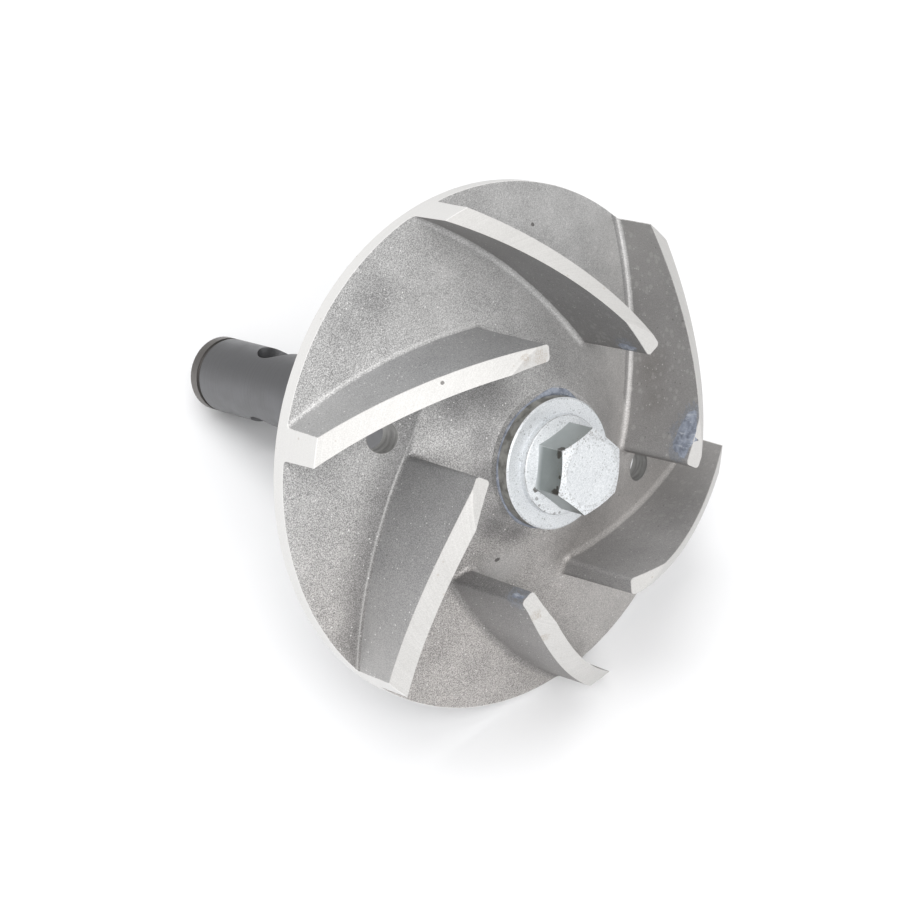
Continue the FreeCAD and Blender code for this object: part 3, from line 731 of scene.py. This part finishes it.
# %% Finish: zinc plate
zinc, tree, shader = new_finish("zinc_plate", Metallic=0.45)
place, radius, height, facing = use(tree, wheel_place)
mottle = use(tree, blasted_skin, Place=place, Grain_size=0.3, Grain=0.5, Clouds=0.6)
pale = blend(tree, mottle["Tone"], *ZINC)
dots = use(tree, specks, Place=place, Spacing=0.45, Size=0.2, Share=0.6)
patches = fade(tree, grain(tree, place, 1.6, detail=4.0), 0.44, 0.6)
pale = lay(tree, ZINC_DOT, pale, dots["Mask"], patches, 0.5)

side = fade(tree, facing, 0.12, 0.3, 1.0, 0.0)
inside_flange = fade(tree, radius, FLANGE_RADIUS - 1.2, FLANGE_RADIUS - 0.9, 1.0, 0.0)
on_head = times(tree, side, inside_flange)
# The flats: a greener tint, painted darker as shade
flats = blend(tree, grain(tree, place, 3.0, detail=2.0), *HEAD_FLAT_TINT_AND_SHADE)
on_left_flat = near(tree, dot(tree, place, disc_point(LEFT_FLAT)), HEAD_HALF_FLATS, 0.1)
low_on_flat = fade(tree, height, *PAINTED_LIGHT_FOOT)
# Painted light on the left flat towards the flange
flats = lay(tree, LEFT_FLAT_PAINTED_LIGHT, flats, on_left_flat, low_on_flat)
on_upper_flat = near(tree, dot(tree, place, disc_point(UPPER_FLAT)), HEAD_HALF_FLATS, 0.1)
# Painted sheen on the upper flat
flats = lay(tree, UPPER_FLAT_PAINTED_SHEEN, flats, on_upper_flat, 0.3)
pale = blend(tree, on_head, pale, flats)
on_edge = times(tree, side, fade(tree, radius, FLANGE_RADIUS + 1, FLANGE_RADIUS + 2))
wetted = fade(tree, grain(tree, place, 2.4, detail=3.0), 0.35, 0.65)
pale = blend(tree, on_edge, pale, blend(tree, wetted, *WETTED_EDGE))

# %% Finish: zinc plate, its dirt and the shader
broken = grain(tree, place, 1.4, detail=3.0)
at_flange_edge = near(tree, radius, FLANGE_RADIUS - 0.1, 0.05)
on_flange = near(tree, height, FLANGE_EDGE, 0.3)
flange_line = times(tree, at_flange_edge, on_flange, fade(tree, broken, 0.3, 0.6), 0.5)
at_crown_edge = near(tree, radius, CROWN_RADIUS, 0.2)
on_top = fade(tree, height, HEAD_TOP - 0.4, HEAD_TOP - 0.2)
crown_ring = times(tree, at_crown_edge, on_top, fade(tree, broken, 0.45, 0.65), 0.3)
round_crown = fade(tree, radius, CROWN_RADIUS - 0.9, CROWN_RADIUS + 0.6)
high_on_head = fade(tree, height, HEAD_TOP - 2.2, HEAD_TOP - 1.8)
crown_dots = use(tree, specks, Place=place, Spacing=0.4, Size=0.22, Share=0.55)
pale = lay(tree, CROWN_DIRT, pale, crown_dots["Mask"], round_crown, high_on_head, 0.5)
pale = blend(tree, highest(tree, flange_line, crown_ring), pale, LINE_DIRT)
streaked = times(tree, all_marks(tree, place, DIRT_STREAKS, 0.8), 0.5)
dirty = times(tree, all_marks(tree, place, DIRT, 0.5), 0.85)
pale = blend(tree, highest(tree, streaked, dirty), pale, THICK_DIRT)
edges = use(tree, rubbed_edges, Place=place, Width=0.0003)
pale = lay(tree, RUBBED_ZINC, pale, edges["Mask"], 0.3)
feed(tree, pale, shader["Base Color"])
feed(tree, fade(tree, on_head, 0.0, 1.0, 0.5, 0.3), shader["Roughness"])
raise_surface(tree, mottle["Relief"], 0.02, shader["Normal"], 0.4)
print("finish", zinc.name)

# %% [markdown]
# ## Sealing compound
#
# The compound that was squeezed out and smeared about is a blue-grey paste that has cured to a satin skin.
# Where it is thin, the grey below shows through.

# %% Finish: sealing compound
COMPOUND = ((0.13, 0.145, 0.18, 1), (0.26, 0.285, 0.34, 1))
COMPOUND_STREAK = (0.42, 0.445, 0.49, 1)

compound, tree, shader = new_finish("sealing_compound", Roughness=0.42)
place = use(tree, wheel_place)["Place"]
blue = blend(tree, fade(tree, grain(tree, place, 1.6, detail=4.0), 0.3, 0.7), *COMPOUND)
streaks = grain(tree, place, 0.8, detail=4.0, rough=0.7, stretch=(1.0, 1.0, 0.35))
blue = blend(tree, fade(tree, streaks, 0.5, 0.75), blue, COMPOUND_STREAK)
feed(tree, blue, shader["Base Color"])
raise_surface(tree, streaks, 0.15, shader["Normal"], 0.6)
print("finish", compound.name)

# %% [markdown]
# ## Dress the CAD pieces
#
# The CAD pieces keep their meshes and get their finishes. A triangulated solid shades its faces exactly as
# the CAD has them, so nothing else is needed.

# %% Give each CAD piece its finish
for name, finish in (("impeller", casting), ("shaft", blackened), ("washer", zinc), ("flange_bolt", zinc)):
    piece = nodes[name]
    piece.data.materials.clear()
    piece.data.materials.append(finish)
    print(name, "gets", finish.name, "on", len(piece.data.polygons), "faces")

# %% [markdown]
# ## The squeezed-out bead
#
# The CAD bead is an even ring. The real one swells and thins round the washer, and was wiped out into a
# smear towards the top. Each point of the ring's outer edge is dropped onto the hub by a ray, so the bead
# lies on the casting wherever it runs.

# %% Helper: drop a point onto the casting
mesh = bmesh.new()
mesh.from_mesh(nodes["impeller"].data)
casting_surface = BVHTree.FromBMesh(mesh)
mesh.free()


def dropped(point, direction):
    """Where a ray meets the casting, and the surface normal there."""
    place, normal, _, _ = casting_surface.ray_cast(point, direction)
    return place, normal


def new_piece(name, points, faces, finish):
    """A smooth mesh piece that rides with the part and takes a material slot's finish."""
    data = bpy.data.meshes.new(name)
    data.from_pydata([tuple(point) for point in points], [], faces)
    data.polygons.foreach_set("use_smooth", [True] * len(faces))
    data.materials.append(finish)
    data.update()
    piece = bpy.data.objects.new(name, data)
    bpy.context.scene.collection.objects.link(piece)
    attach(piece, "root")
    return piece


# %% Bead of sealing compound
BEAD_STEPS = 180
BEAD_PROFILE = ((0.0, 1.0), (0.35, 0.8), (0.7, 0.45), (1.0, 0.02))
BEAD_WIDTH = 0.26
BEAD_RISE = 0.35
BEAD_SUNK = 0.15
BEAD_INNER = WASHER_RADIUS - 0.02
DROP_HEIGHT = HUB_FACE + 5
SMEAR_ANGLE = 57
SMEAR_WIDTH = 1.6
LAP_ANGLE = 208
LAP_WIDTH = 0.35


def bump_at(angle, middle, spread):
    """1 at the middle angle, falling smoothly to 0 over the spread, in degrees."""
    apart = (angle - middle + 180) % 360 - 180
    return math.exp(-(apart / spread) ** 2)


def bead_size(angle):
    """Width on the hub and height up the washer at an angle, in millimetres."""
    turn = math.radians(angle)
    wander = noise.noise(Vector((3 * math.cos(turn), 3 * math.sin(turn), 0.7)))
    smear = bump_at(angle, SMEAR_ANGLE, 17)
    lap = bump_at(angle, LAP_ANGLE, 20)
    width = BEAD_WIDTH + 0.16 * wander + SMEAR_WIDTH * smear + LAP_WIDTH * lap
    return width, BEAD_RISE + 0.2 * wander + 0.1 * smear


points = []
for step in range(BEAD_STEPS):
    angle = 360 * step / BEAD_STEPS
    width, rise = bead_size(angle)
    for share, level in BEAD_PROFILE:
        radius = BEAD_INNER + width * share
        seat, _ = dropped(on_wheel(radius, angle, DROP_HEIGHT), -AXIS)
        points.append(seat + AXIS * rise * level * MM)
    seat, _ = dropped(on_wheel(WASHER_RADIUS + width, angle, DROP_HEIGHT), -AXIS)
    points.append(seat - AXIS * BEAD_SUNK * MM)
    points.append(on_wheel(BEAD_INNER, angle, HUB_FACE - BEAD_SUNK))
ring = len(BEAD_PROFILE) + 2
faces = []
for step in range(BEAD_STEPS):
    here, after = step * ring, (step + 1) % BEAD_STEPS * ring
    for i in range(ring):
        j = (i + 1) % ring
        faces.append((here + i, here + j, after + j, after + i))
bead = new_piece("squeezed_bead", points, faces, compound)
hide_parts("sealant_bead")
print("bead", len(faces), "faces")

# %% [markdown]
# ## Dabs of compound on the vanes
#
# Fingers left thin dabs on three vane noses. Each is a small film: a fan of points is dropped onto the vane,
# lifted by a fraction of a millimetre in the middle, and sunk just below the surface round its ragged edge. A
# point that misses the vane is drawn in towards the middle until it lands.

# %% Films of compound on the vanes
FILM_RINGS = 9
FILM_SPOKES = 40
FILM_START = 3.0
FILM_TOO_FAR = 4.5
FILM_DRAW_IN = 0.94
FILM_EDGE_SUNK = 0.04
FILM_SUNK = 0.12


def from_wheel(across, up, height):
    """A direction, or an offset in millimetres, from its parts in the wheel's directions."""
    return ACROSS * across + UP_DISC * up + AXIS * height


def film(name, aim, facing, along, reach, lift, seed):
    """A thin film round a point (across, up, height) of the wheel, seen against the direction facing."""
    facing = from_wheel(*facing).normalized()
    along = from_wheel(*along).normalized()
    sideways = facing.cross(along).normalized()
    middle = RIM_FRONT + from_wheel(*aim) * MM
    top, bottom = [], []
    for ring in range(FILM_RINGS + 1):
        for spoke in range(FILM_SPOKES if ring else 1):
            turn = 2 * math.pi * spoke / FILM_SPOKES
            ragged = 1 + 0.45 * noise.noise(Vector((1.7 * math.cos(turn), 1.7 * math.sin(turn), seed)))
            share = ring / FILM_RINGS
            spread = along * reach[0] * math.cos(turn) + sideways * reach[1] * math.sin(turn)
            shift = spread * share * ragged
            seat = None
            while seat is None:
                start = middle + (shift + facing * FILM_START) * MM
                seat, normal = dropped(start, -facing)
                if seat is not None and (seat - start).length > FILM_TOO_FAR * MM:
                    seat = None
                shift *= FILM_DRAW_IN
            swell = 0.7 + 0.6 * noise.noise(seat * 900 + Vector((seed, 0, 0)))
            rise = (1 - share ** 2) * lift * swell - FILM_EDGE_SUNK * share
            top.append(seat + normal * rise * MM)
            bottom.append(seat - normal * FILM_SUNK * MM)
    count = len(top)
    faces = []
    for layer, turned_over in ((0, False), (count, True)):
        for spoke in range(FILM_SPOKES):
            after = (spoke + 1) % FILM_SPOKES
            fan = [(layer, layer + 1 + spoke, layer + 1 + after)]
            for ring in range(1, FILM_RINGS):
                inner = layer + 1 + (ring - 1) * FILM_SPOKES
                outer = inner + FILM_SPOKES
                fan.append((inner + spoke, outer + spoke, outer + after, inner + after))
            faces += [face[::-1] if turned_over else face for face in fan]
    last = 1 + (FILM_RINGS - 1) * FILM_SPOKES
    for spoke in range(FILM_SPOKES):
        after = (spoke + 1) % FILM_SPOKES
        faces.append((last + spoke, count + last + spoke, count + last + after, last + after))
    new_piece(name, top + bottom, faces, compound)
    print(name, "round", [round(value / MM, 1) for value in middle])


film("compound_dab_top", (22.4, 16.1, 24.0), (-0.97, -0.25, 0.02), (0, 0, 1), (3.2, 1.0), 0.16, 2.0)
film("compound_dab_right", (28.6, -8.6, 26.9), (-0.73, 0.68, 0.02), (0.56, 0.62, 0.1), (6.0, 2.9), 0.3, 5.0)
film("compound_dab_bottom", (-25.5, -15.6, 26.6), (-0.22, 0.98, 0.02), (0, 0, 1), (2.2, 0.8), 0.12, 9.0)

# %% [markdown]
# ## Table, light and camera
#
# The photograph has a white table and a large soft lamp in front, a little to the left of the camera. The far
# side of the room is dimmer, so faces that mirror it, such as the sides of the vanes and of the bolt, stay
# darker.

# %% White table
TABLE_SIZE = 6.0
TABLE_CLOUDS = 0.05
TABLE_WHITE = ((0.87, 0.872, 0.88, 1), (0.9, 0.902, 0.91, 1))
table_finish, tree, shader = new_finish("white_table", Roughness=0.5)
clouds = grain(tree, put(tree, "ShaderNodeTexCoord").outputs["Object"], TABLE_CLOUDS)
feed(tree, blend(tree, clouds, *TABLE_WHITE), shader["Base Color"])
mesh = bmesh.new()
bmesh.ops.create_grid(mesh, x_segments=2, y_segments=2, size=TABLE_SIZE / 2)
table_data = bpy.data.meshes.new("table")
mesh.to_mesh(table_data)
mesh.free()
table_data.materials.append(table_finish)
table = bpy.data.objects.new("table", table_data)
bpy.context.scene.collection.objects.link(table)

# %% Lamps and room
LIT_POINT = Vector((0, -0.02, 0.05))
ROOM_WHITE = (1.0, 1.0, 1.0, 1)
ROOM_STRENGTH = 0.5


def lamp(name, place, size, power):
    """A round soft lamp that looks at the part; sizes in metres, power in watts."""
    data = bpy.data.lights.new(name, "AREA")
    data.shape = "DISK"
    data.size = size
    data.energy = power
    light = bpy.data.objects.new(name, data)
    light.location = place
    light.rotation_euler = (LIT_POINT - light.location).to_track_quat("-Z", "Y").to_euler()
    bpy.context.scene.collection.objects.link(light)


lamp("lamp_front", Vector((-0.6, -0.9, 1.1)), 1.2, 17)
lamp("lamp_overhead", Vector((-0.1, 0.2, 1.5)), 1.3, 12)
room = bpy.data.worlds.new("white_room")
room.use_nodes = True
background = room.node_tree.nodes["Background"].inputs
background["Color"].default_value = ROOM_WHITE
background["Strength"].default_value = ROOM_STRENGTH
bpy.context.scene.world = room
bpy.context.scene.view_settings.view_transform = "Standard"

# %% [markdown]
# ## Camera
#
# The camera looks down at about 47 degrees from the front left with a long lens. Its place was worked out
# from the ellipses of the rim, washer and shaft, in millimetres in the row frame.

# %% Camera
CAMERA_PLACE = Vector((-287.6, -307.7, 475.7))
CAMERA_AIM = Vector((-5.9, -20.2, 50.0))
LENS = 108.3
SENSOR = 36
camera_data = bpy.data.cameras.new("camera")
camera_data.lens = LENS
camera_data.sensor_width = SENSOR
camera = bpy.data.objects.new("camera", camera_data)
camera.location = CAMERA_PLACE * MM
camera.rotation_euler = (CAMERA_AIM - CAMERA_PLACE).to_track_quat("-Z", "Y").to_euler()
bpy.context.scene.collection.objects.link(camera)
bpy.context.scene.camera = camera
